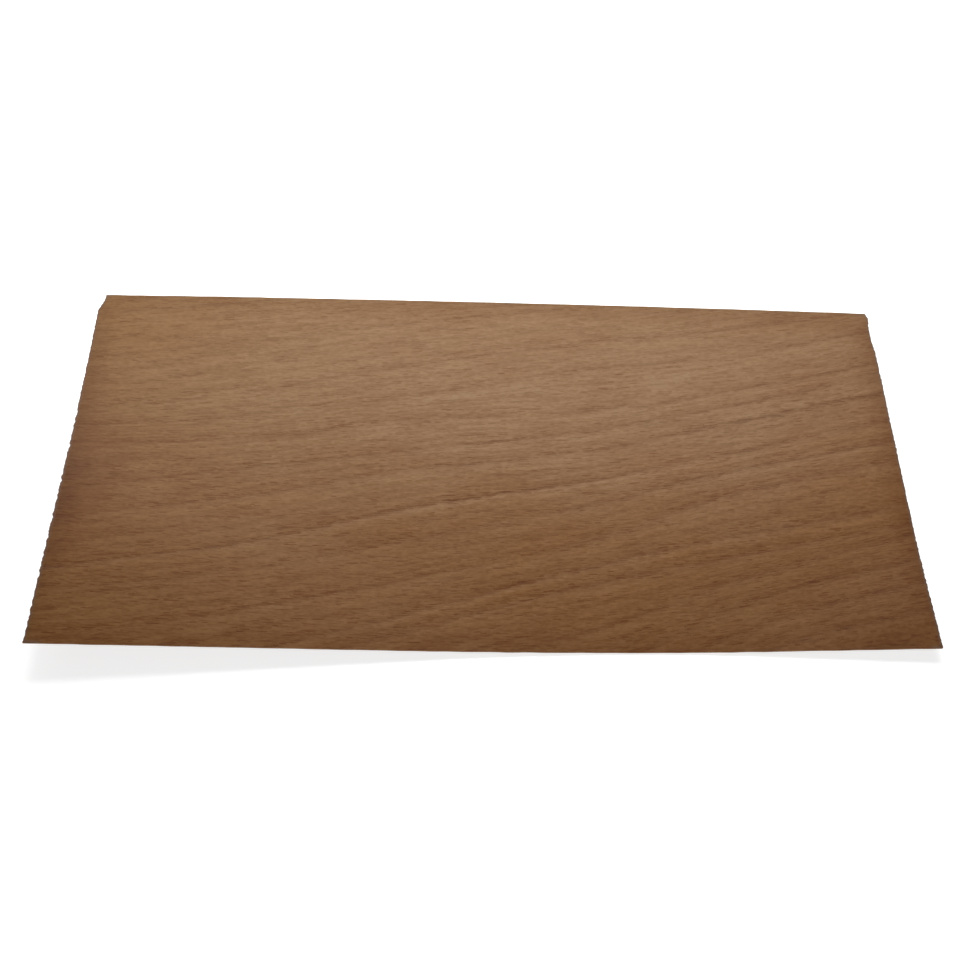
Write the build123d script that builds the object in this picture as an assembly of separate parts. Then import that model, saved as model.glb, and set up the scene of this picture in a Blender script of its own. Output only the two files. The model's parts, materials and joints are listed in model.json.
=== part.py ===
from build123d import *
import os
from math import cos, radians, sin

# A rectangular sheet of sawn wood veneer, knife cut to size, lying good face up on a level floor.
# Millimetres. The grain runs along X, Y goes away from the front edge, Z is up.
# The underside of the flat middle is at z = 0. The two front corners curl up off the floor.

# Size of the sheet. It was cut by hand, so the right end is narrower than the left one,
# both ends lean a little to the right, and the back edge bows outwards.
length = 300.0
left_width = 150.0
right_width = 144.0
end_lean = 1.6
back_bow = 1.0
thickness = 0.6

# Curl of each front corner: where its fold line meets the front edge and the end of the sheet,
# measured from that corner, then the radius of the bend and the slope of the corner past it.
left_fold_along = 200.0
left_fold_across = 140.0
left_bend_radius = 485.0
left_bend_angle = 5.4
right_fold_along = 92.0
right_fold_across = 50.0
right_bend_radius = 185.0
right_bend_angle = 5.0

# Torn back left corner: how much is gone along the back edge and down the end, and the short
# straight step down from the back edge where the tear began.
torn_along = 2.0
torn_across = 7.5
torn_step = 2.2

# Worn back right corner: a small clipped tip and, in front of it, a shallow hollow in the end.
clipped_along = 1.0
clipped_across = 2.5
hollow_across = 16.0
hollow_depth = 0.7

# The left end is ragged: small teeth in the front part of it, each with its root a little in front
# of its tip. Their places and depths vary on two beats, in radians from one tooth to the next.
toothed_start = 7.3
toothed_length = 92.0
tooth_pitch = 3.8
tooth_shift = 1.1
tooth_slant = 1.7
deep_tooth = 0.45
shallow_tooth = 0.16
quick_beat = 2.4
slow_beat = 0.7

# Corners of the whole rectangle, before the tear and the wear, centred on the origin.
front_left = Vector(-(length + end_lean) / 2, -left_width / 2)
front_right = front_left + Vector(length, 0)
back_left = front_left + Vector(end_lean, left_width)
back_right = front_right + Vector(end_lean, right_width)


def ragged_teeth(corner, up_end):
    """Points of the ragged cut on the left end, from the back towards the front corner."""
    points = []
    for tooth in reversed(range(int(toothed_length / tooth_pitch))):
        swing = (1 + sin(quick_beat * tooth) * cos(slow_beat * tooth)) / 2
        tip = toothed_start + tooth_pitch * tooth + tooth_shift * swing
        depth = shallow_tooth + (deep_tooth - shallow_tooth) * swing
        points.append(corner + up_end * tip)
        points.append(corner + up_end * (tip - tooth_slant) + Vector(depth, 0))
    return points


def sheet_outline():
    """The cut outline in plan, as one face."""
    up_left = (back_left - front_left).normalized()
    up_right = (back_right - front_right).normalized()
    along_back = (back_right - back_left).normalized()
    outwards = Vector(-along_back.Y, along_back.X)

    clipped_end = back_right - up_right * clipped_across
    hollow_middle = clipped_end - up_right * hollow_across / 2 - along_back * hollow_depth
    hollow_end = clipped_end - up_right * hollow_across
    clipped_back = back_right - along_back * clipped_along
    back_middle = (back_left + back_right) / 2 + outwards * back_bow
    torn_back = back_left + along_back * torn_along
    torn_middle = torn_back - up_left * torn_step
    torn_end = back_left - up_left * torn_across

    edges = Polyline(front_left, front_right, hollow_end).edges()
    edges += ThreePointArc(hollow_end, hollow_middle, clipped_end).edges()
    edges += Line(clipped_end, clipped_back).edges()
    edges += ThreePointArc(clipped_back, back_middle, torn_back).edges()
    teeth = ragged_teeth(front_left, up_left)
    edges += Polyline(torn_back, torn_middle, torn_end, *teeth, front_left).edges()
    return make_face(edges)


def curl(corner, inwards, fold_along, fold_across, radius, angle):
    """The layer past a fold line, up along an arc and on up its slope, and the space past the fold."""
    on_front = corner + Vector(inwards * fold_along, 0)
    on_end = corner + Vector(0, fold_across)
    fold = (on_end - on_front).normalized()
    across = Vector(-inwards * abs(fold.Y), -abs(fold.X))
    reach = length + left_width

    slope = radians(angle)
    lower = Vector(radius * sin(slope), radius * (1 - cos(slope)))
    upper = lower + Vector(-sin(slope), cos(slope)) * thickness
    run = Vector(cos(slope), sin(slope)) * reach
    edges = CenterArc((0, radius), radius, -90, angle).edges()
    edges += Polyline(lower, lower + run, upper + run, upper).edges()
    edges += CenterArc((0, radius), radius - thickness, -90, angle).edges()
    edges += Line((0, thickness), (0, 0)).edges()

    section_plane = Plane(origin=on_front, x_dir=across, z_dir=across.cross(Vector(0, 0, 1)))
    layer = extrude(section_plane * make_face(edges), amount=reach, both=True)
    past_fold = section_plane * Rectangle(reach, reach, align=(Align.MIN, Align.CENTER))
    return layer, extrude(past_fold, amount=reach, both=True)


def veneer_sheet():
    """The flat middle with the two curled front corners, one solid."""
    outline = sheet_outline()
    column = extrude(outline, amount=length, both=True)
    left_layer, left_side = curl(
        front_left, 1, left_fold_along, left_fold_across, left_bend_radius, left_bend_angle
    )
    right_layer, right_side = curl(
        front_right, -1, right_fold_along, right_fold_across, right_bend_radius, right_bend_angle
    )
    middle = extrude(outline, amount=thickness) - left_side - right_side
    return middle + (column & left_layer) + (column & right_layer)


os.makedirs("parts", exist_ok=True)
sheet = veneer_sheet()
export_step(sheet, "parts/veneer_sheet.step")
print("solids", len(sheet.solids()), "volume", round(sheet.volume, 1))
print("height over the floor", round(sheet.bounding_box().size.Z, 2))
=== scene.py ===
import json

import bpy
import numpy as np
from mathutils import Matrix, Vector
from mathutils.bvhtree import BVHTree
from mathutils.geometry import delaunay_2d_cdt

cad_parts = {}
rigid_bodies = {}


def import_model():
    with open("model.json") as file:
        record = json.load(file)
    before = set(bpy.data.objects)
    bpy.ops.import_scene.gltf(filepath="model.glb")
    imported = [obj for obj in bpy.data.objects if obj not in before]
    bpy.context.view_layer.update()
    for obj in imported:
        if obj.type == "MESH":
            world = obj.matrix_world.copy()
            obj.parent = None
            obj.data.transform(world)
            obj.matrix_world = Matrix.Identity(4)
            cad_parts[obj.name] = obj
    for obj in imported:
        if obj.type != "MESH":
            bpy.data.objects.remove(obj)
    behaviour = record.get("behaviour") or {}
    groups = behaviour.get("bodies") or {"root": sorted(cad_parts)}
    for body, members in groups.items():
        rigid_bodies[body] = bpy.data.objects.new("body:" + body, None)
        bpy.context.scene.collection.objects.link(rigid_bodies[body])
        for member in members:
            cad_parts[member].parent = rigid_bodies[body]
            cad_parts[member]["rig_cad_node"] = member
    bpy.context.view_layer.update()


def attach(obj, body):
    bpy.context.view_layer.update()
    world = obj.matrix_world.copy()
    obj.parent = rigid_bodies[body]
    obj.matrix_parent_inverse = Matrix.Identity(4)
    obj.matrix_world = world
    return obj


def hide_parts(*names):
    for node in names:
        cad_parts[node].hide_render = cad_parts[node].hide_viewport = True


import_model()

# Lengths in this script are in millimetres unless a name or a comment says otherwise.
# Colours and tints are linear. A tint multiplies the colour that it falls on.
MM = 0.001

# How finely the sheet is drawn, and how near its rim the points inside it come.
TOP_SPACING = 0.95
TOP_CLEARANCE = 0.7 * TOP_SPACING
UNDERSIDE_SPACING = 3.0
UNDERSIDE_CLEARANCE = 0.6 * UNDERSIDE_SPACING
RIM_SPACING = 0.5

# Distance between the rows of a triangular lattice, in spacings.
LATTICE_ROWS = 0.866

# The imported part's bends are drawn with flat facets, which are smoothed over this reach.
SMOOTHING_REACH = 6.0

# The growth lines of the wood, from the back edge to the front one. Each row gives a line's
# distance behind the sheet's middle at the six stations, then how dark it is and how light the
# band beside it is, at the left end, the middle and the right end. A light band above 0 lies in
# front of its line and one below 0 behind it.
STATIONS = (-150, -90, -30, 30, 90, 150)
GROWTH_LINES = (
    ((89, 93, 98, 106, 117, 128), (0.3, 0.3, 0.3), (0.0, 0.0, 0.0)),
    ((66, 72, 79, 88, 98, 108), (0.35, 0.45, 0.4), (0.0, 0.1, 0.0)),
    ((44, 53, 62, 70, 79, 88), (0.25, 0.3, 0.3), (0.1, 0.1, 0.1)),
    ((20.5, 29.3, 42, 52, 60, 70), (0.3, 0.45, 0.4), (0.1, 0.1, 0.15)),
    ((13.5, 18.5, 28, 39.3, 47, 60), (0.4, 0.45, 0.45), (0.1, 0.1, 0.2)),
    ((5.5, 8.5, 17, 21, 30.5, 45), (0.5, 0.5, 0.7), (0.2, 0.2, 0.5)),
    ((-15, -4.5, 4, 11.5, 24, 40), (0.45, 0.7, 0.5), (0.2, 0.3, 0.3)),
    ((-27, -16.5, -4.3, 3, 16.5, 31), (0.35, 0.6, 1.0), (0.2, 0.6, -1.0)),
    ((-47, -36, -20.5, -9.8, 3.5, 18.5), (0.85, 1.0, 0.55), (0.4, 1.0, 0.3)),
    ((-56, -46.5, -33, -19.8, -4, 9), (0.35, 0.4, 0.7), (0.1, 0.2, 0.8)),
    ((-74, -62.5, -48.5, -34, -13, 1), (0.4, 0.45, 0.6), (0.1, 0.2, 0.5)),
    ((-93, -80, -62, -44.5, -30, -18), (0.4, 0.7, 0.5), (0.3, 0.8, 0.3)),
    ((-101, -88, -68, -51, -38, -26), (0.4, 0.6, 0.6), (0.3, 0.5, 0.4)),
    ((-113, -99, -84, -68, -46.5, -30), (0.4, 0.5, 0.5), (0.2, 0.3, 0.3)),
    ((-126, -112, -97, -83, -55.5, -40), (0.4, 0.4, 0.5), (0.2, 0.3, 0.3)),
    ((-138, -124, -110, -95, -65.5, -49), (0.4, 0.4, 0.5), (0.2, 0.3, 0.3)),
    ((-150, -136, -122, -107, -75, -60), (0.4, 0.4, 0.5), (0.2, 0.3, 0.3)),
)

# The share by which the grain turns with the growth lines: in the middle of the sheet, what each
# millimetre to the right and to the back adds to it, and its limits.
GRAIN_TURN = 0.26
GRAIN_TURN_RIGHT = 0.001
GRAIN_TURN_BACK = 0.002
GRAIN_TURN_LIMITS = (0.05, 0.5)

# Relief of the upper face: a groove at each growth line and a swell beside it. The underside has
# a share of it.
LINE_RELIEF = 0.05
GROOVE_WIDTH = 1.6
SWELL_PLACE = 2.2
SWELL_WIDTH = 2.08
UNDERSIDE_SHARE = 0.4

# How many waves make up an unevenness, and what divides their sum so that it mostly lies within 1.
WAVE_COUNT = 12
WAVE_SUM = 3.5

# Gentle unevenness of the lying sheet, and the size of its waves along X and Y.
COCKLE = 0.05
COCKLE_WAVES = (110.0, 70.0)

# Fraying of the cut ends, across the grain, and of the edges along it. Single fibres and bundles
# of them stand out or are torn back, up to the limits.
END_FRAY = 0.16
SIDE_FRAY = 0.04
FIBRE_SHARE = 0.45
BUNDLE_SHARE = 0.5
SIDE_FIBRE_SHARE = 0.2
BUNDLE_WAVES = (30.0, 2.2)
SIDE_WAVES = (9.0, 30.0)
FRAY_LIMITS = (-0.5, 0.35)

# How rough the cut edge is half way up.
EDGE_ROUGHNESS = 0.05

# Patterns of the wood: their size along and across the grain, and a shift that tells them apart.
SLOW_TURNS = (16, 10, 3.1)
QUICK_TURNS = (5, 2.4, 7.7)
LINE_LENGTHS = (34, 9, 23.0)
MINOR_LENGTHS = (24, 4, 37.0)
VESSEL_CLUSTERS = (20, 5, 31.0)
STREAKS = (14, 1.7, 5.0)
FIBRES = (2.2, 0.75, 70.0)
PATCHES = (18, 6, 9.0)
DASHES = (4.4, 0.8, 47.0)
RED_PATCHES = (40, 18, 13.0)

# Patterns that follow the growth lines: drifts, by their length and how many to a growth ring,
# and fine lines, by their length and width.
DRIFT_LENGTH = 60.0
DRIFTS_TO_RING = 3.4
FINE_LINE_LENGTH = 28.0
FINE_LINE_WIDTH = 1.4

# How far a growth line wanders from its drawn course, in slow and in quick turns.
SLOW_WANDER = 2.4
QUICK_WANDER = 1.6

# Rows of dashes that draw the growth lines: length and width of the cells, one dash to a cell, a
# shift that tells the rows apart, the reach on each side of the line and how dark they are.
LINE_DASHES = ((5.2, 0.65, 61.0, 0.55, 1.0), (3.6, 0.55, 83.0, 1.0, 0.5))

# Fainter lines: how many to a growth ring, half their width and how dark they are.
MINOR_LINES = 3.0
MINOR_REACH = 0.8
MINOR_DARKNESS = 0.42

# The light band beside a growth line: how far its middle is from the line, how wide it is at its
# full strength on each side of its middle, and where it has faded out.
BAND_PLACE = 2.8
BAND_CORE = 0.8
BAND_REACH = 3.4

# Open vessels: length and width of the cells that hold them, and a shift. Then the chance that a
# cell holds one, in plain wood, and how much clusters and the wood behind a growth line add.
VESSEL_LAYERS = ((7.0, 0.95, 0.0), (4.0, 0.8, 20.0))
VESSEL_CHANCE = 0.14
CLUSTER_CHANCE = 0.14
EARLY_WOOD_CHANCE = 0.22

# How much each pattern changes the tone of the wood.
# The light bands are partly lighter wood and partly painted highlight on the lit side of the swells
# beside the growth lines.
BAND_AND_HIGHLIGHT_SHARE = 0.155
DRIFT_SHARE = 0.03
STREAK_SHARE = 0.03
FIBRE_TONE_SHARE = 0.1
PATCH_SHARE = 0.03
DASH_SHARE = 0.12
FINE_LINE_SHARE = 0.13

# The figure's strength at the front and at the back of the sheet, and the places of the two.
FIGURE_STRENGTH = (1.15, 0.85)
FIGURE_PLACES = (-60.0, 70.0)

# Darker places: the stain at the left end, and painted shade at the front right corner. Each has a
# centre, radii and tone.
STAIN = ((-150.0, -10.0), (30.0, 48.0), 0.83)
SHADED_CORNER = ((150.0, -75.0), (75.0, 50.0), 0.88)

# The darker rim: its width, and its tone in the middle of the ends and at the long edges.
RIM_WIDTH = 12.0
RIM_TONES = (0.8, 0.89)

# Darker wood is also deeper in colour: the powers of the tone that red, green and blue follow.
TONE_POWERS = (1.0, 1.5, 2.2)

# Colours of the wood, and the tints and colours that lie over them.
# The first colour is paler and bluer than the wood itself, with painted sheen in it, for the back
# and middle of the sheet; the redder one is the wood at its front edge.
WOOD_WITH_PAINTED_SHEEN = (0.249, 0.1345, 0.0598)
REDDER_WOOD = (0.2198, 0.0981, 0.0327)
YELLOW_TINT = (0.985, 0.97, 0.87)
VESSEL_TINT = (0.76, 0.635, 0.5)
LINE_TINT = (0.64, 0.51, 0.41)
# This tint and the colour after it are painted shade along the very rim and at the ends.
RIM_SHADE_TINT = (0.92, 0.92, 0.92)
END_SHADE_COLOUR = (0.15, 0.1, 0.07)
# The cut edge's colour is the wood's, darkened in part with painted shade.
CUT_WOOD_AND_SHADE = (0.25, 0.145, 0.07)

# Roughness and gloss of the faces and of the cut edge, and the depth of the finest relief.
FACE_FINISH = (0.38, 0.08)
CUT_FINISH = (0.7, 0.3)
BUMP_DEPTH = 0.035

# The floor lies a hair under the sheet. Its glow fades towards the sheet, between two distances
# from the sheet's rectangle.
FLOOR_HALF_WIDTH = 4000.0
FLOOR_DROP = 0.02
FLOOR_COLOUR = (0.8, 0.8, 0.8)
FLOOR_GLOW = (0.76, 1.0)
FLOOR_GLOW_DISTANCES = (15.0, 110.0)
SHEET_HALF = (150.0, 75.0)

# Strength of the world as light on the sheet, and where it is seen or mirrored.
WHITE = (1.0, 1.0, 1.0)
WORLD_LIGHT = 0.035
BACKGROUND = 1.0

# Soft lamps: name, place and the point each one faces, in metres, then its width and height in
# metres, power in watts and spread in degrees.
LAMPS = (
    ("strip behind", (0.0, 0.35, 0.25), (0.0, 0.0, 0.0), 0.6, 0.15, 0.4, 180),
    ("lamp above the back", (0.012, 0.18, 0.21), (0.004, -0.002, 0.0), 0.46, 0.1, 0.425, 100),
    ("back right softbox", (0.5, 0.45, 0.5), (0.0, 0.0, 0.0), 0.5, 0.4, 0.2, 180),
    ("back left lamp", (-0.26, 0.14, 0.12), (-0.14, 0.05, 0.0), 0.1, 0.1, 0.06, 180),
    ("front fill", (0.0, -0.8, 0.08), (0.0, 0.0, 0.0), 0.8, 0.16, 3.2, 180),
    ("left softbox", (-0.8, 0.0, 0.5), (0.0, 0.0, 0.0), 0.5, 0.5, 0.19, 180),
)

# The camera: its lens and sensor, its nearest drawn distance and its place in metres, and the
# directions of its right, its top and its view.
CAMERA_LENS = 45.84
CAMERA_SENSOR = 36.0
CAMERA_CLIP = 0.01
CAMERA_PLACE = (-0.02007, -0.23546, 0.37445)
CAMERA_RIGHT = Vector((0.99924305, -0.01704572, 0.03496824))
CAMERA_UP = Vector((-0.00354271, 0.85528049, 0.5181532))
CAMERA_FORWARD = Vector((0.03873995, 0.51788486, -0.85457269))


def waves(x, y, sizes, seed):
    """Smooth pseudo-random heights, mostly between -1 and 1, in waves of about the given sizes."""
    rng = np.random.default_rng(seed)
    total = np.zeros(len(x))
    for _ in range(WAVE_COUNT):
        turn = rng.uniform(0, 2 * np.pi)
        phase = rng.uniform(0, 2 * np.pi)
        stretch = rng.uniform(0.7, 1.5)
        across_x = np.cos(turn) * x / (sizes[0] * stretch)
        across_y = np.sin(turn) * y / (sizes[1] * stretch)
        total += np.sin(2 * np.pi * (across_x + across_y) + phase)
    return total / WAVE_SUM


def curve_through(values, x):
    """A smooth curve through the values at the stations."""
    step = STATIONS[1] - STATIONS[0]
    place = np.clip((x - STATIONS[0]) / step, -0.2, len(STATIONS) - 0.8)
    left = np.clip(place.astype(int), 0, len(STATIONS) - 2)
    share = place - left
    ends = np.concatenate(
        ([2 * values[0] - values[1]], values, [2 * values[-1] - values[-2]])
    )
    before, here, after, beyond = (ends[left + i] for i in range(4))
    return 0.5 * (
        2 * here
        + (after - before) * share
        + (2 * before - 5 * here + 4 * after - beyond) * share**2
        + (3 * here - before - 3 * after + beyond) * share**3
    )


def line_heights(x):
    """How far behind the sheet's middle each growth line lies at x, one row to a line."""
    return np.array([curve_through(np.array(row[0], float), x) for row in GROWTH_LINES])


def growth_field(x, y):
    """For points in plan: the growth ring, counted from the back, the millimetres to the next
    one, how dark its line is and how light the band beside it."""
    heights = line_heights(x)
    places = (STATIONS[0], 0, STATIONS[-1])
    darkness = np.array([np.interp(x, places, row[1]) for row in GROWTH_LINES])
    lightness = np.array([np.interp(x, places, row[2]) for row in GROWTH_LINES])
    slope = np.empty_like(heights)
    slope[1:-1] = 2 / (heights[:-2] - heights[2:])
    slope[0] = 1 / (heights[0] - heights[1])
    slope[-1] = 1 / (heights[-2] - heights[-1])
    behind = np.clip((heights > y).sum(axis=0) - 1, 0, len(GROWTH_LINES) - 2)
    here = np.arange(len(x))
    width = heights[behind, here] - heights[behind + 1, here]
    share = (heights[behind, here] - y) / width
    start = slope[behind, here] * width
    end = slope[behind + 1, here] * width
    inside = (
        (share**3 - 2 * share**2 + share) * start
        + (3 * share**2 - 2 * share**3)
        + (share**3 - share**2) * end
    )
    ring = behind + np.where((share < 0) | (share > 1), share, inside)
    blend = np.clip(share, 0, 1)

    def between(rows):
        return rows[behind, here] * (1 - blend) + rows[behind + 1, here] * blend

    return ring, 1 / between(slope), between(darkness), between(lightness)


def grain_field(x, y):
    """For points in plan: the slope of the growth lines there, in millimetres per millimetre, a
    distance across those lines, and a distance across the grain, which turns only partly with
    them, more towards the back and the right."""
    ring, gap, _, _ = growth_field(x, y)
    slope = (growth_field(x + 1, y)[0] - growth_field(x - 1, y)[0]) * gap / 2
    at_middle = line_heights(np.zeros(1))[:, 0]
    middle_y = np.interp(ring, np.arange(len(at_middle)), at_middle)
    share = GRAIN_TURN + GRAIN_TURN_RIGHT * x + GRAIN_TURN_BACK * y
    share = np.clip(share, *GRAIN_TURN_LIMITS)
    return slope, middle_y, y + share * (middle_y - y)


class PackedSheet:
    """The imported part: its outline in plan, its thickness and the height of its upper face."""

    def __init__(self, name):
        node = next(o for o in bpy.context.scene.objects if o.get("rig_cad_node") == name)
        mesh = node.data

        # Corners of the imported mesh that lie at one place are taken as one.
        self.corners = []
        number = {}
        same = []
        for vertex in mesh.vertices:
            place = vertex.co / MM
            key = tuple(round(c, 3) for c in place)
            if key not in number:
                number[key] = len(number)
                self.corners.append(place)
            same.append(number[key])
        upper = [p.vertices for p in mesh.polygons if p.normal.z > 0.5]
        self.faces = [tuple(same[i] for i in face) for face in upper]
        self.tree = BVHTree.FromPolygons(self.corners, self.faces)
        self.thickness = min(self.corners[i].z for face in self.faces for i in face)
        self.loop = self.boundary()

    def boundary(self):
        """Outline in plan as an array of points, anticlockwise."""
        used = set()
        for face in self.faces:
            for a, b in zip(face, face[1:] + face[:1]):
                used.add((a, b))
        following = {a: b for a, b in used if (b, a) not in used}
        start = next(iter(following))
        loop = [start]
        while following[loop[-1]] != start:
            loop.append(following[loop[-1]])
        return np.array([self.corners[i][:2] for i in loop])

    def height(self, x, y):
        """Height of the upper face, its flat facets smoothed into one another."""
        around = [(0, 0)] + [
            (share * SMOOTHING_REACH * np.cos(turn), share * SMOOTHING_REACH * np.sin(turn))
            for turn in np.arange(8) * np.pi / 4
            for share in (0.5, 1.0)
        ]
        total = np.zeros(len(x))
        for dx, dy in around:
            total += self.facet_height(x + dx, y + dy)
        return total / len(around)

    def facet_height(self, x, y):
        """Height of the facet at each point. Past the outline the nearest facet is carried on."""
        heights = np.empty(len(x))
        for i, (px, py) in enumerate(zip(x, y)):
            spot, normal, _, _ = self.tree.find_nearest(Vector((px, py, self.thickness)))
            lift = normal.x * (px - spot.x) + normal.y * (py - spot.y)
            heights[i] = spot.z - lift / normal.z
        return heights


def resample(loop, spacing):
    """Points along a closed loop, near the given spacing. The loop's own points are kept, but for
    those that lie almost on the one before."""
    apart = np.linalg.norm(loop - np.roll(loop, 1, axis=0), axis=1) > spacing / 3
    loop = loop[apart]
    points = []
    for a, b in zip(loop, np.roll(loop, -1, axis=0)):
        steps = max(1, int(round(np.linalg.norm(b - a) / spacing)))
        points.extend(a + (b - a) * i / steps for i in range(steps))
    return np.array(points)


def outward_normals(loop):
    along = np.roll(loop, -1, axis=0) - np.roll(loop, 1, axis=0)
    along /= np.linalg.norm(along, axis=1)[:, None]
    return np.column_stack([along[:, 1], -along[:, 0]])


def frayed(loop):
    """The outline with the fibres of the wood standing out or torn back a little."""
    rng = np.random.default_rng(11)
    normals = outward_normals(loop)

    # 1 where the edge is cut across the grain and 0 where it runs along it.
    across_grain = np.clip(np.abs(normals[:, 0]) * 1.6 - 0.6, 0, 1)
    fibres = rng.normal(0, 1, len(loop)) * FIBRE_SHARE
    bundles = waves(loop[:, 0], loop[:, 1], BUNDLE_WAVES, 5)
    along_edge = waves(loop[:, 0], loop[:, 1], SIDE_WAVES, 6)
    at_end = across_grain * END_FRAY * (fibres + BUNDLE_SHARE * bundles)
    at_side = (1 - across_grain) * SIDE_FRAY * (along_edge + SIDE_FIBRE_SHARE * fibres)
    return loop + normals * np.clip(at_end + at_side, *FRAY_LIMITS)[:, None]


def inner_points(loop, spacing, clearance):
    """A triangular lattice of points inside the loop, no nearer its edge than the clearance."""
    low = loop.min(axis=0)
    high = loop.max(axis=0)
    rows = np.arange(low[1] + spacing / 2, high[1], spacing * LATTICE_ROWS)
    points = []
    for i, y in enumerate(rows):
        xs = np.arange(low[0] + spacing * (0.25 + 0.5 * (i % 2)), high[0], spacing)
        points.append(np.column_stack([xs, np.full(len(xs), y)]))
    points = np.vstack(points)
    near, inside = rim_distance(points, loop)
    return points[inside & (near > clearance)]


def rim_distance(points, loop):
    """Distance of each point from the loop and whether it is inside it."""
    near = np.full(len(points), 1e9)
    crossings = np.zeros(len(points), int)
    px, py = points[:, 0], points[:, 1]
    for a, b in zip(loop, np.roll(loop, -1, axis=0)):
        run = b - a
        length = run @ run
        share = np.clip(((px - a[0]) * run[0] + (py - a[1]) * run[1]) / length, 0, 1)
        gap = np.hypot(px - a[0] - share * run[0], py - a[1] - share * run[1])
        near = np.minimum(near, gap)
        if a[1] != b[1]:
            passes = (a[1] > py) != (b[1] > py)
            at = a[0] + (py - a[1]) / run[1] * run[0]
            crossings += passes & (at > px)
    return near, crossings % 2 == 1


def filled(loop, inner):
    """Triangles over the loop and the points inside it. The loop's points come first."""
    points = [Vector(p) for p in np.vstack([loop, inner])]
    count = len(loop)
    ring = [(i, (i + 1) % count) for i in range(count)]

    # Mode 1 makes triangles inside the ring only. Each new point tells which of the given it is.
    made, _, faces, sources, _, _ = delaunay_2d_cdt(points, ring, [], 1, 1e-7)
    order = {new: old for new, olds in enumerate(sources) for old in olds}
    if len(order) != len(made):
        raise RuntimeError("the outline crosses itself")
    return [tuple(order[i] for i in face) for face in faces]


def sheet_surface(sheet, points):
    """Height of the upper face without its relief, and the relief, at points in plan."""
    x, y = points[:, 0], points[:, 1]
    ring, gap, dark, light = growth_field(x, y)
    from_line = (np.mod(ring + 0.5, 1) - 0.5) * gap
    groove = dark * np.exp(-((from_line / GROOVE_WIDTH) ** 2))
    from_swell = from_line - SWELL_PLACE * np.sign(light)
    swell = np.abs(light) * np.exp(-((from_swell / SWELL_WIDTH) ** 2))
    cockle = COCKLE * waves(x, y, COCKLE_WAVES, 3)
    return sheet.height(x, y) + cockle.clip(0), LINE_RELIEF * (swell - groove)


def sheet_mesh(sheet):
    """The whole veneer sheet as one closed mesh with its growth and grain fields."""
    coarse = resample(sheet.loop, RIM_SPACING)
    rim = frayed(coarse)
    top_inner = inner_points(sheet.loop, TOP_SPACING, TOP_CLEARANCE)
    low_inner = inner_points(sheet.loop, UNDERSIDE_SPACING, UNDERSIDE_CLEARANCE)
    top_faces = filled(rim, top_inner)
    low_faces = filled(rim, low_inner)

    top = np.vstack([rim, top_inner])
    low = np.vstack([rim, low_inner])
    base, relief = sheet_surface(sheet, top)
    top_z = base + relief
    base, relief = sheet_surface(sheet, low)
    low_z = np.maximum(base - sheet.thickness + UNDERSIDE_SHARE * relief, 0.0)

    # The cut edge has a rough line of points half way up.
    count = len(rim)
    rng = np.random.default_rng(4)
    middle = rim + outward_normals(coarse) * rng.normal(0, EDGE_ROUGHNESS, count)[:, None]
    middle_z = 0.5 * (top_z[:count] + low_z[:count])
    places = np.vstack(
        [
            np.column_stack([top, top_z]),
            np.column_stack([low, low_z]),
            np.column_stack([middle, middle_z]),
        ]
    )
    low_start = len(top)
    middle_start = low_start + len(low)
    faces = [tuple(f) for f in top_faces]
    faces += [tuple(low_start + i for i in reversed(f)) for f in low_faces]
    upright = []
    for i in range(count):
        j = (i + 1) % count
        upright.append((middle_start + i, middle_start + j, j, i))
        upright.append((low_start + i, low_start + j, middle_start + j, middle_start + i))
    mesh = bpy.data.meshes.new("veneer")
    mesh.from_pydata((places * MM).tolist(), [], faces + upright)

    for i, polygon in enumerate(mesh.polygons):
        is_edge = i >= len(faces)
        polygon.material_index = 1 if is_edge else 0
        polygon.use_smooth = not is_edge
    sharp = {
        frozenset((start + i, start + (i + 1) % count))
        for start in (0, low_start)
        for i in range(count)
    }
    for edge in mesh.edges:
        edge.use_edge_sharp = frozenset(edge.vertices) in sharp
    store_fields(mesh, places, sheet.loop)
    return mesh


def store_fields(mesh, places, loop):
    """Keep what the wood's material needs to know at each point of the mesh."""
    x, y = places[:, 0], places[:, 1]
    ring, gap, dark, light = growth_field(x, y)
    slope, across_lines, across_grain = grain_field(x, y)
    for name, values in (
        ("ring", ring),
        ("ring_gap", gap),
        ("line_dark", dark),
        ("band_light", light),
        ("from_rim", rim_distance(places[:, :2], loop)[0]),
        ("line_slope", slope),
        ("across_lines", across_lines),
        ("grain_across", across_grain),
    ):
        attribute = mesh.attributes.new(name, "FLOAT", "POINT")
        attribute.data.foreach_set("value", np.asarray(values, np.float32))


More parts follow.
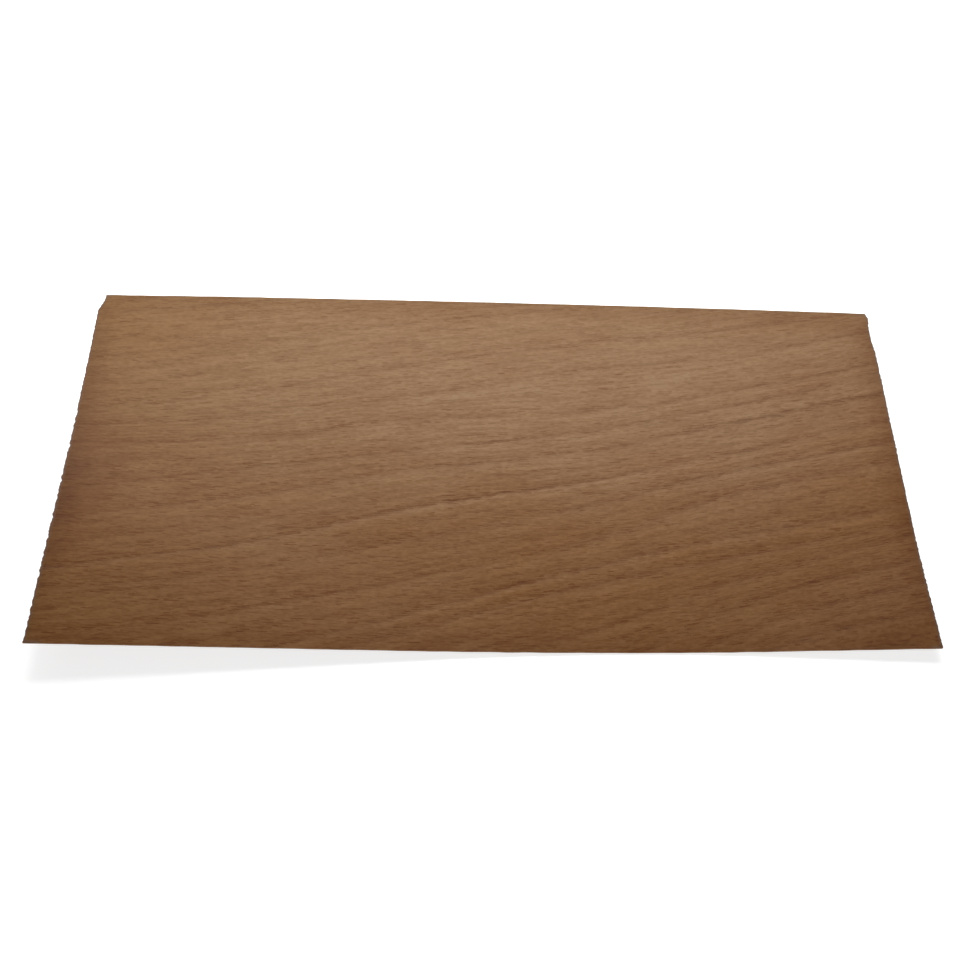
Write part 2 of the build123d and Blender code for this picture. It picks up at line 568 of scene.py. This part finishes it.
class Nodes:
    """Short names for building the nodes of one material or world."""

    def __init__(self, owner):
        self.owner = owner
        self.owner.use_nodes = True
        self.tree = self.owner.node_tree
        self.tree.nodes.clear()

    def add(self, kind, **settings):
        node = self.tree.nodes.new(kind)
        for key, value in settings.items():
            setattr(node, key, value)
        return node

    def put(self, socket, value):
        if isinstance(value, bpy.types.NodeSocket):
            self.tree.links.new(value, socket)
        elif isinstance(value, tuple) and len(value) == 3 and socket.type == "RGBA":
            socket.default_value = (*value, 1.0)
        else:
            socket.default_value = value

    def attribute(self, name):
        return self.add("ShaderNodeAttribute", attribute_name=name).outputs["Fac"]

    def math(self, operation, *values):
        node = self.add("ShaderNodeMath", operation=operation)
        for socket, value in zip(node.inputs, values):
            self.put(socket, value)
        return node.outputs[0]

    def ramp(self, value, low, high, to_low=0.0, to_high=1.0, smooth=True):
        node = self.add("ShaderNodeMapRange", clamp=True)
        node.interpolation_type = "SMOOTHSTEP" if smooth else "LINEAR"
        for key, item in (
            ("Value", value),
            ("From Min", low),
            ("From Max", high),
            ("To Min", to_low),
            ("To Max", to_high),
        ):
            self.put(node.inputs[key], item)
        return node.outputs[0]

    def noise(self, vector, detail=2.0, roughness=0.5):
        node = self.add("ShaderNodeTexNoise", noise_dimensions="3D")
        self.put(node.inputs["Vector"], vector)
        self.put(node.inputs["Scale"], 1.0)
        self.put(node.inputs["Detail"], detail)
        self.put(node.inputs["Roughness"], roughness)
        return node.outputs["Fac"]

    def mix(self, share, first, second, kind="MIX"):
        """A mix of two colours, which are the node's inputs 6 and 7 and its output 2."""
        node = self.add("ShaderNodeMix", data_type="RGBA", blend_type=kind)
        self.put(node.inputs["Factor"], share)
        self.put(node.inputs[6], first)
        self.put(node.inputs[7], second)
        return node.outputs[2]

    def tinted(self, share, colour, tint):
        return self.mix(share, colour, tint, "MULTIPLY")

    def gathered(self, x, y, z=0.0):
        node = self.add("ShaderNodeCombineXYZ")
        for socket, value in zip(node.inputs, (x, y, z)):
            self.put(socket, value)
        return node.outputs[0]

    def parted(self, vector):
        node = self.add("ShaderNodeSeparateXYZ")
        self.put(node.inputs[0], vector)
        return node.outputs

    def position(self):
        """The place on the object in metres, as x, y and z."""
        return self.parted(self.add("ShaderNodeTexCoord").outputs["Object"])

    def seen_or_mirrored(self):
        """1 for what the camera sees, straight or through gloss or glass, and 0 for other light."""
        path = self.add("ShaderNodeLightPath").outputs
        glossy = self.math("MAXIMUM", path["Is Camera Ray"], path["Is Glossy Ray"])
        return self.math("MAXIMUM", glossy, path["Is Transmission Ray"])

    def principled(self, colour, finish, height=None):
        """The usual shader. The finish is its roughness and gloss, and the height a fine relief."""
        shader = self.add("ShaderNodeBsdfPrincipled")
        self.put(shader.inputs["Base Color"], colour)
        self.put(shader.inputs["Roughness"], finish[0])
        self.put(shader.inputs["Specular IOR Level"], finish[1])
        if height is not None:
            bump = self.add("ShaderNodeBump")
            self.put(bump.inputs["Height"], height)
            self.put(bump.inputs["Distance"], BUMP_DEPTH * MM)
            self.put(shader.inputs["Normal"], bump.outputs["Normal"])
        return shader.outputs[0]

    def shown(self, shader, kind="ShaderNodeOutputMaterial"):
        """Send the shader to the output, and give back the material or world."""
        output = self.add(kind)
        self.put(output.inputs["Surface"], shader)
        return self.owner


class WoodNodes(Nodes):
    """Nodes for patterns that lie along the grain: x is along it, and the place across it follows
    the grain's slow turns."""

    def __init__(self, owner):
        super().__init__(owner)
        self.x, self.y, _ = self.position()
        across = self.math("MULTIPLY", self.attribute("grain_across"), MM)
        self.grain = self.gathered(self.x, across)

    def stretched(self, along, across, shift):
        """Pattern coordinates where one unit is the given millimetres along and across the grain."""
        node = self.add("ShaderNodeMapping")
        self.put(node.inputs["Vector"], self.grain)
        self.put(node.inputs["Scale"], (1 / (along * MM), 1 / (across * MM), 0.0))
        self.put(node.inputs["Location"], (shift, shift * 1.7, shift * 0.6))
        return node.outputs[0]

    def cells(self, along, across, shift):
        """Cells in rows along the grain, each row with a start of its own: a value rising from a
        cell's middle to its rim, three values of each cell's own and the millimetres along the
        grain to its middle."""
        x, y, _ = self.parted(self.stretched(along, across, shift))

        # Each row starts somewhere within 9 cells, and the exponent gives cells blunt ends.
        row = self.add("ShaderNodeTexWhiteNoise", noise_dimensions="1D")
        self.put(row.inputs["W"], self.math("FLOOR", y))
        sideways = self.math("ADD", x, self.math("MULTIPLY", row.outputs["Value"], 9.0))
        node = self.add("ShaderNodeTexVoronoi", feature="F1", voronoi_dimensions="2D")
        node.distance = "MINKOWSKI"
        self.put(node.inputs["Vector"], self.gathered(sideways, y))
        self.put(node.inputs["Scale"], 1.0)
        self.put(node.inputs["Exponent"], 5.0)
        own = self.add("ShaderNodeSeparateColor")
        self.put(own.inputs[0], node.outputs["Color"])
        middle = self.parted(node.outputs["Position"])[0]
        offset = self.math("MULTIPLY", self.math("SUBTRACT", middle, sideways), along)
        return node.outputs["Distance"], own.outputs, offset

    def climb(self, offset):
        """How far a growth line climbs over the given millimetres along the grain."""
        return self.math("MULTIPLY", offset, self.attribute("line_slope"))

    def ellipse(self, centre, radii):
        """Distance from a point in plan: 1 all round the ellipse of those radii about it."""
        squares = []
        for value, middle, radius in zip((self.x, self.y), centre, radii):
            off = self.math("DIVIDE", self.math("SUBTRACT", value, middle * MM), radius * MM)
            squares.append(self.math("POWER", off, 2.0))
        return self.math("SQRT", self.math("ADD", *squares))


def growth_lines(n):
    """Position among the growth rings, distance in front of the nearest line, how dark the lines
    are and how light the bands beside them are."""
    gap = n.attribute("ring_gap")
    slow = n.math("SUBTRACT", n.noise(n.stretched(*SLOW_TURNS)), 0.5)
    quick = n.math("SUBTRACT", n.noise(n.stretched(*QUICK_TURNS), 1.0), 0.5)
    slow_part = n.math("MULTIPLY", slow, SLOW_WANDER)
    wander = n.math("ADD", slow_part, n.math("MULTIPLY", quick, QUICK_WANDER))
    turned = n.math("ADD", n.attribute("ring"), n.math("DIVIDE", wander, gap))
    cycle = n.math("SUBTRACT", n.math("FRACT", n.math("ADD", turned, 0.5)), 0.5)
    from_line = n.math("MULTIPLY", cycle, gap)

    # The faint lines come and go, and all of them widen towards the right end.
    lasting = n.ramp(n.noise(n.stretched(*LINE_LENGTHS)), 0.25, 0.5)
    dark = n.attribute("line_dark")
    dark = n.math("MULTIPLY", dark, n.math("MAXIMUM", lasting, n.ramp(dark, 0.6, 1.0)))
    spread = n.ramp(n.x, -60 * MM, 90 * MM, 1.0, 1.8)

    # Each line is drawn by short dashes along the grain, one to a cell.
    drawn = []
    steps = []
    for along, across, shift, reach, darkness in LINE_DASHES:
        _, own, offset = n.cells(along, across, shift)
        climb = n.climb(offset)
        off = n.math("DIVIDE", n.math("ABSOLUTE", n.math("ADD", from_line, climb)), spread)
        shape = n.ramp(off, 0.15 * reach, reach, darkness, 0.0)
        drawn.append(n.math("MULTIPLY", shape, n.ramp(own[0], 0.1, 0.5, 0.4, 1.0)))
        steps.append((own, climb))
    line = n.math("MULTIPLY", n.math("MAXIMUM", *drawn), dark)
    line = n.math("MAXIMUM", line, minor_lines(n, turned, slow, gap, *steps[0]))
    return turned, from_line, line, light_bands(n, from_line)


def minor_lines(n, turned, slow, gap, own, climb):
    """How dark the fainter lines are, which the first row of dashes draws too."""
    place = n.math("ADD", turned, n.math("MULTIPLY", slow, 0.5))
    place = n.math("ADD", place, n.math("DIVIDE", climb, gap))
    cycle = n.math("SUBTRACT", n.math("FRACT", n.math("MULTIPLY", place, MINOR_LINES)), 0.5)
    off = n.math("MULTIPLY", n.math("ABSOLUTE", cycle), n.math("DIVIDE", gap, MINOR_LINES))
    minor = n.ramp(off, 0.1, MINOR_REACH, MINOR_DARKNESS, 0.0)
    minor = n.math("MULTIPLY", minor, n.ramp(own[1], 0.3, 0.8))
    lasting = n.ramp(n.noise(n.stretched(*MINOR_LENGTHS)), 0.4, 0.62)
    return n.math("MULTIPLY", minor, lasting)


def light_bands(n, from_line):
    """How light the bands in front of the growth lines, or behind them, are: partly lighter wood and
    partly painted highlight on the swells there.
    """
    light = n.attribute("band_light")
    bands = []
    for side in (1.0, -1.0):
        off = n.math("ABSOLUTE", n.math("SUBTRACT", from_line, BAND_PLACE * side))
        shape = n.ramp(off, BAND_CORE, BAND_REACH, 1.0, 0.0)
        amount = n.math("MAXIMUM", n.math("MULTIPLY", light, side), 0.0)
        bands.append(n.math("MULTIPLY", shape, amount))
    return n.math("ADD", *bands)


def open_vessels(n, from_line):
    """How deep the vessels cut open along the grain are. Most lie just behind a growth line."""
    behind = n.ramp(from_line, -4.5, -0.2)
    early = n.math("MULTIPLY", behind, n.ramp(from_line, 0.0, 1.0, 1.0, 0.0))
    clusters = n.ramp(n.noise(n.stretched(*VESSEL_CLUSTERS)), 0.3, 0.7)
    more = n.math("MULTIPLY", clusters, CLUSTER_CHANCE)
    chance = n.math("ADD", n.math("MULTIPLY", early, EARLY_WOOD_CHANCE), more)
    chance = n.math("ADD", chance, VESSEL_CHANCE)
    layers = []
    for along, across, shift in VESSEL_LAYERS:
        distance, own, _ = n.cells(along, across, shift)
        size = n.ramp(own[1], 0.0, 1.0, 0.22, 0.44, smooth=False)
        shape = n.ramp(n.math("DIVIDE", distance, size), 0.65, 1.0, 1.0, 0.0)
        present = n.ramp(n.math("SUBTRACT", chance, own[0]), 0.0, 0.12)
        depth = n.math("ADD", n.math("MULTIPLY", own[2], 0.6), 0.4)
        layers.append(n.math("MULTIPLY", n.math("MULTIPLY", shape, present), depth))
    return n.math("MAXIMUM", *layers)


def wood_tone(n, turned, band, fibres, figure):
    """Tone of the wood, near 1: light bands, which are partly painted highlight, drifts along the
    growth lines, streaks and dashes along the grain, patches, and fine lines beside the growth
    lines."""
    along = n.math("DIVIDE", n.x, DRIFT_LENGTH * MM)
    drift = n.gathered(along, n.math("MULTIPLY", turned, DRIFTS_TO_RING))

    # The fine lines follow the growth lines in small steps, one to a dash.
    _, own, offset = n.cells(*DASHES)
    across = n.math("SUBTRACT", n.attribute("across_lines"), n.climb(offset))
    along = n.math("DIVIDE", n.x, FINE_LINE_LENGTH * MM)
    fine_line = n.gathered(along, n.math("DIVIDE", across, FINE_LINE_WIDTH))
    shade = n.math("MULTIPLY", band, BAND_AND_HIGHLIGHT_SHARE)
    for pattern, share in (
        (n.noise(drift, 3.0), DRIFT_SHARE),
        (n.noise(n.stretched(*STREAKS), 2.0, 0.6), STREAK_SHARE),
        (fibres, FIBRE_TONE_SHARE),
        (n.noise(n.stretched(*PATCHES)), PATCH_SHARE),
        (n.ramp(own[0], 0.0, 0.6, -0.2, 0.8), DASH_SHARE),
        (n.ramp(n.noise(fine_line, 1.5, 0.6), 0.38, 0.62), FINE_LINE_SHARE),
    ):
        change = n.math("MULTIPLY", n.math("SUBTRACT", pattern, 0.5), share)
        shade = n.math("ADD", shade, change)
    return n.math("ADD", n.math("MULTIPLY", shade, figure), 1.0)


def stain_shaded_corner_and_rim(n, rim):
    """Tone of the sheet: a stain at the left end, painted shade at the front right corner
    and a darker rim, most of all in the middle of the ends."""
    centre, radii, tone = STAIN
    stain = n.ramp(n.ellipse(centre, radii), 0.2, 1.0, tone, 1.0)
    centre, radii, tone = SHADED_CORNER
    # The front right corner is darkened with painted shade.
    corner_shade = n.ramp(n.ellipse(centre, radii), 0.0, 1.0, tone, 1.0)
    darkest = n.ramp(n.math("ABSOLUTE", n.y), 40 * MM, 72 * MM, *RIM_TONES)
    around = n.ramp(rim, 0.0, RIM_WIDTH, darkest, 1.0)
    return n.math("MULTIPLY", n.math("MULTIPLY", stain, corner_shade), around)


def wood_hue_and_painted_sheen(n):
    """The wood is paler towards its back and middle, where painted sheen lightens it, and redder
    towards its front edge and its ends. It is also redder in random patches and yellower at its left
    end.
    """
    redder_and_less_sheen = n.ramp(n.noise(n.stretched(*RED_PATCHES)), 0.35, 0.65, -0.1, 0.15)
    # Towards the front edge and the ends the mix leaves out the painted sheen of the paler colour.
    redder_and_less_sheen = n.math("ADD", redder_and_less_sheen, n.ramp(n.y, -55 * MM, 45 * MM, 1.0, 0.0))
    redder_and_less_sheen = n.math("ADD", redder_and_less_sheen, n.ramp(n.math("ABSOLUTE", n.x), 80 * MM, 140 * MM, 0.0, 0.4))
    yellow = n.ramp(n.x, -140 * MM, -20 * MM, 1.0, 0.0)
    return n.tinted(yellow, n.mix(redder_and_less_sheen, WOOD_WITH_PAINTED_SHEEN, REDDER_WOOD), YELLOW_TINT)


def veneer_material():
    n = WoodNodes(bpy.data.materials.new("veneer face"))
    turned, from_line, line, band = growth_lines(n)

    # The figure is stronger towards the front edge.
    front, back = FIGURE_PLACES
    figure = n.ramp(n.y, front * MM, back * MM, *FIGURE_STRENGTH, smooth=False)
    vessels = n.math("MULTIPLY", open_vessels(n, from_line), figure)
    fibres = n.ramp(n.noise(n.stretched(*FIBRES), 1.0), 0.42, 0.58)
    rim = n.attribute("from_rim")
    shade = n.math("MULTIPLY", wood_tone(n, turned, band, fibres, figure), stain_shaded_corner_and_rim(n, rim))
    tone = n.gathered(*(n.math("POWER", shade, power) for power in TONE_POWERS))

    # The very rim is darkened with painted shade, and at the two ends a dull dark line of painted
    # shade lies along it.
    at_end = n.ramp(n.math("ABSOLUTE", n.x), 144 * MM, 147 * MM)
    end_shade = n.math("MULTIPLY", n.ramp(rim, 0.3, 1.3, 0.6, 0.0), at_end)
    wood = n.tinted(1.0, wood_hue_and_painted_sheen(n), tone)
    wood = n.tinted(vessels, wood, VESSEL_TINT)
    wood = n.tinted(line, wood, LINE_TINT)
    wood = n.tinted(n.ramp(rim, 0.0, 0.9, 1.0, 0.0), wood, RIM_SHADE_TINT)
    wood = n.mix(end_shade, wood, END_SHADE_COLOUR)

    height = n.math("SUBTRACT", n.math("MULTIPLY", band, 0.5), vessels)
    height = n.math("SUBTRACT", height, line)
    height = n.math("ADD", height, n.math("MULTIPLY", fibres, 0.2))
    return n.shown(n.principled(wood, FACE_FINISH, height))


def edge_material():
    n = Nodes(bpy.data.materials.new("veneer edge"))
    return n.shown(n.principled(CUT_WOOD_AND_SHADE, CUT_FINISH))


def build_sheet():
    mesh = sheet_mesh(PackedSheet("veneer_sheet"))
    mesh.materials.append(veneer_material())
    mesh.materials.append(edge_material())
    made = bpy.data.objects.new("veneer", mesh)
    bpy.context.scene.collection.objects.link(made)
    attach(made, "root")
    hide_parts("veneer_sheet")


def floor_material():
    """Pale floor with a glow where it is seen or mirrored, which keeps the sheet's shadow."""
    n = Nodes(bpy.data.materials.new("floor"))
    diffuse = n.add("ShaderNodeBsdfDiffuse")
    n.put(diffuse.inputs["Color"], FLOOR_COLOUR)
    away = [
        n.math("SUBTRACT", n.math("ABSOLUTE", value), half * MM)
        for value, half in zip(n.position(), SHEET_HALF)
    ]
    near, far = FLOOR_GLOW_DISTANCES
    strength = n.ramp(n.math("MAXIMUM", *away), near * MM, far * MM, *FLOOR_GLOW)
    glow = n.add("ShaderNodeEmission")
    n.put(glow.inputs["Strength"], n.math("MULTIPLY", n.seen_or_mirrored(), strength))
    both = n.add("ShaderNodeAddShader")
    n.put(both.inputs[0], diffuse.outputs[0])
    n.put(both.inputs[1], glow.outputs[0])
    return n.shown(both.outputs[0])


def build_floor():
    half = FLOOR_HALF_WIDTH * MM
    low = -FLOOR_DROP * MM
    mesh = bpy.data.meshes.new("floor")
    corners = [(-half, -half, low), (half, -half, low), (half, half, low), (-half, half, low)]
    mesh.from_pydata(corners, [], [(0, 1, 2, 3)])
    mesh.materials.append(floor_material())
    plane = bpy.data.objects.new("floor", mesh)
    bpy.context.scene.collection.objects.link(plane)


def build_world():
    n = Nodes(bpy.data.worlds.new("world"))
    mixed = n.add("ShaderNodeMixShader")
    n.put(mixed.inputs[0], n.seen_or_mirrored())
    for i, strength in ((1, WORLD_LIGHT), (2, BACKGROUND)):
        part = n.add("ShaderNodeBackground")
        n.put(part.inputs["Color"], WHITE)
        n.put(part.inputs["Strength"], strength)
        n.put(mixed.inputs[i], part.outputs[0])
    bpy.context.scene.world = n.shown(mixed.outputs[0], "ShaderNodeOutputWorld")


def soft_lamp(name, place, target, width, height, power, spread):
    light = bpy.data.lights.new(name, "AREA")
    light.shape = "RECTANGLE"
    light.size = width
    light.size_y = height
    light.energy = power
    light.spread = np.radians(spread)
    lamp = bpy.data.objects.new(name, light)
    lamp.visible_camera = False
    bpy.context.scene.collection.objects.link(lamp)
    turn = (Vector(target) - Vector(place)).to_track_quat("-Z", "Y").to_matrix().to_4x4()
    lamp.matrix_world = Matrix.Translation(place) @ turn


def build_camera():
    data = bpy.data.cameras.new("camera")
    data.lens = CAMERA_LENS
    data.sensor_width = CAMERA_SENSOR
    data.clip_start = CAMERA_CLIP
    made = bpy.data.objects.new("camera", data)
    bpy.context.scene.collection.objects.link(made)
    turn = Matrix((CAMERA_RIGHT, CAMERA_UP, -CAMERA_FORWARD)).transposed().to_4x4()
    made.matrix_world = Matrix.Translation(CAMERA_PLACE) @ turn
    bpy.context.scene.camera = made


build_sheet()
build_floor()
build_world()
for lamp in LAMPS:
    soft_lamp(*lamp)
build_camera()

scene = bpy.context.scene
scene.view_settings.view_transform = "Standard"
